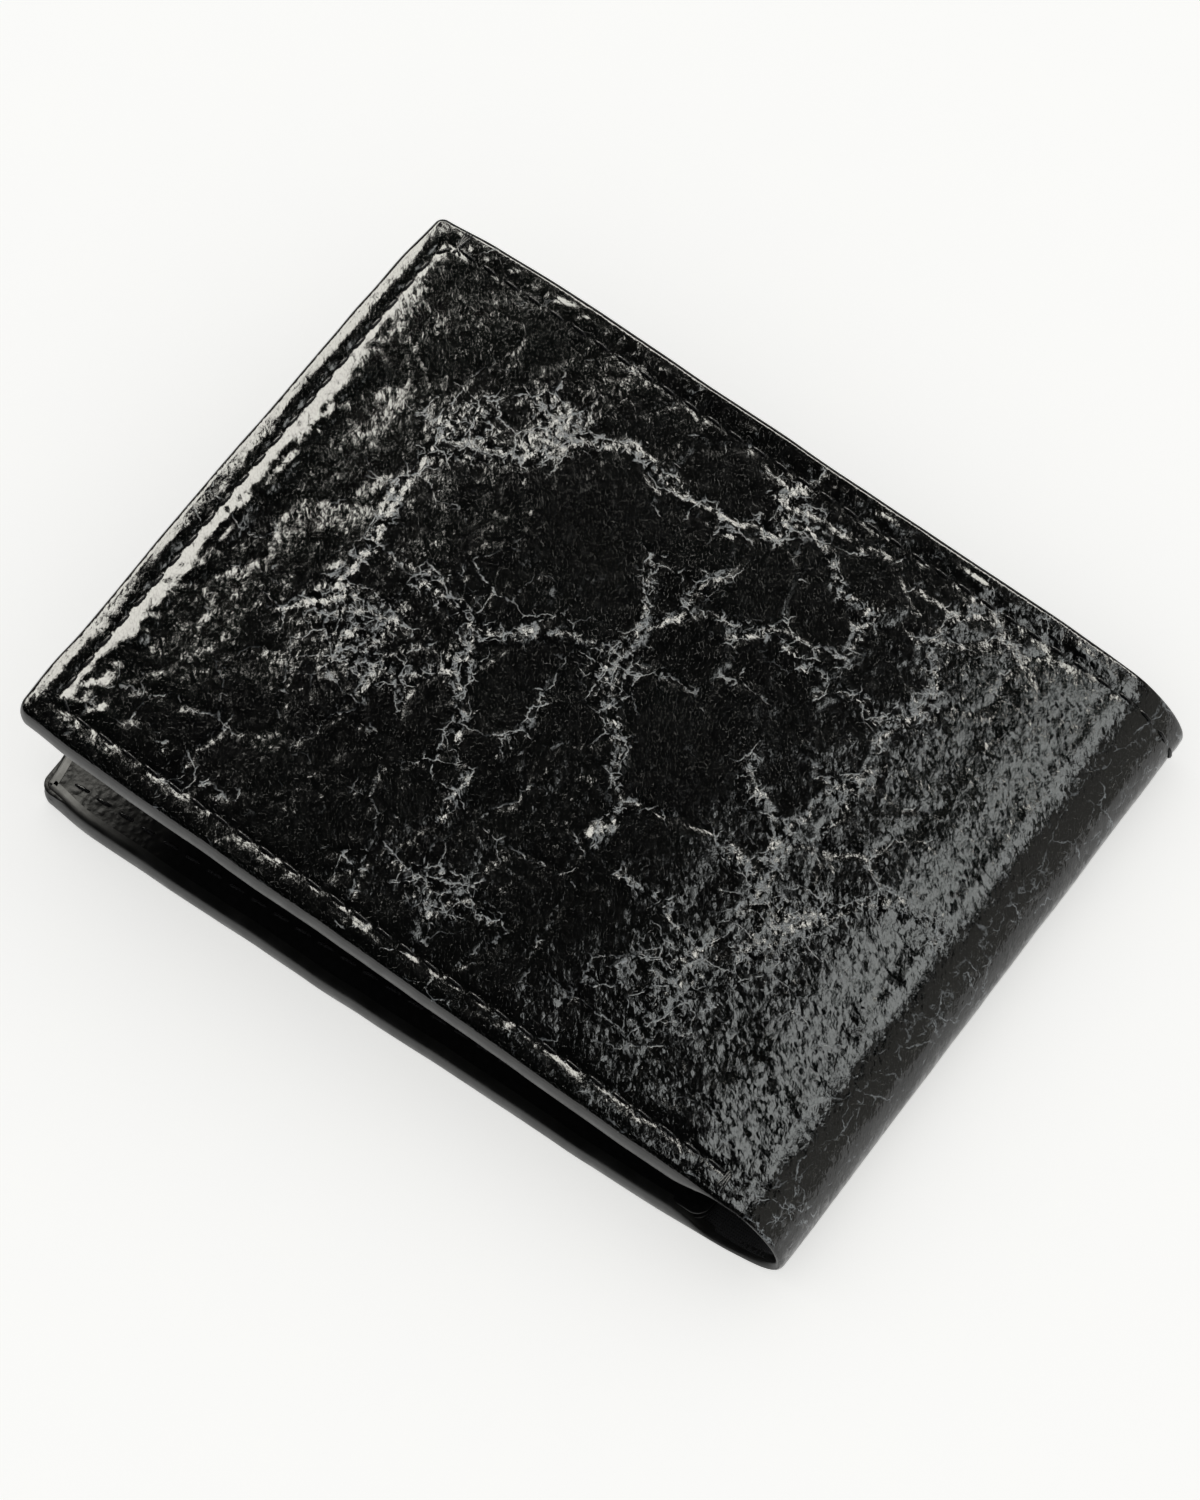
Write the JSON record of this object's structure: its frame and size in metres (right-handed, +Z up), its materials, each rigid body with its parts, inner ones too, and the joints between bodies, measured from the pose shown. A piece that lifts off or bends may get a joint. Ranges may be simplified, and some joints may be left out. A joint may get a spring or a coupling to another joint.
{
  "type": "bifold wallet",
  "caption": "Closed bifold leather wallet: two covers on a rounded fold, a full-length note compartment and stepped card slots in each half.",
  "frame": {"origin": "on the table, under the middle of the closed wallet's bounding box", "axes": "+X towards the fold, +Y towards the mouth of the note compartment, +Z up from the table"},
  "size_m": [0.1096, 0.086, 0.024],
  "materials": {
    "cover_leather": "glazed, crinkled",
    "pocket_leather": "matt, pebbled",
    "lining_fabric": "plain woven",
    "sewing_thread": "bonded, twisted"
  },
  "bodies": {
    "back_half": {"back_cover": "cover_leather", "back_cover_lining": "lining_fabric", "back_note_divider": "lining_fabric", "back_card_base": "pocket_leather", "back_card_slot_rear": "pocket_leather", "back_card_slot_middle": "pocket_leather", "back_card_slot_front": "pocket_leather", "back_seam_thread": "sewing_thread", "back_seam_end_tack": "sewing_thread", "back_mouth_tack": "sewing_thread"},
    "spine": {"spine_cover": "cover_leather", "spine_lining": "lining_fabric", "spine_divider": "lining_fabric", "spine_hem_thread": "sewing_thread"},
    "front_half": {"front_cover": "cover_leather", "front_cover_lining": "lining_fabric", "front_note_divider": "lining_fabric", "front_card_base": "pocket_leather", "front_card_slot_rear": "pocket_leather", "front_card_slot_middle": "pocket_leather", "front_card_slot_front": "pocket_leather", "front_seam_thread": "sewing_thread", "front_seam_end_tack": "sewing_thread", "front_mouth_tack": "sewing_thread"}
  },
  "joints": [
    {"name": "fold_at_back", "type": "hinge", "parent": "back_half", "child": "spine", "pos_m": [0.05275, 0, 0.00186], "axis": [0, 1, 0], "range_deg": [-4.2, 87.1], "stiffness_Nm_per_rad": 0.05, "springref_deg": 10.71},
    {"name": "fold_at_front", "type": "hinge", "parent": "spine", "child": "front_half", "pos_m": [0.05322, 0, 0.01115], "axis": [0, 1, 0], "range_deg": [-4.2, 87.1], "stiffness_Nm_per_rad": 0.05, "springref_deg": 10.71}
  ],
  "couplings": [
    {"joint": "fold_at_front", "follows": "fold_at_back", "ratio": 1}
  ]
}
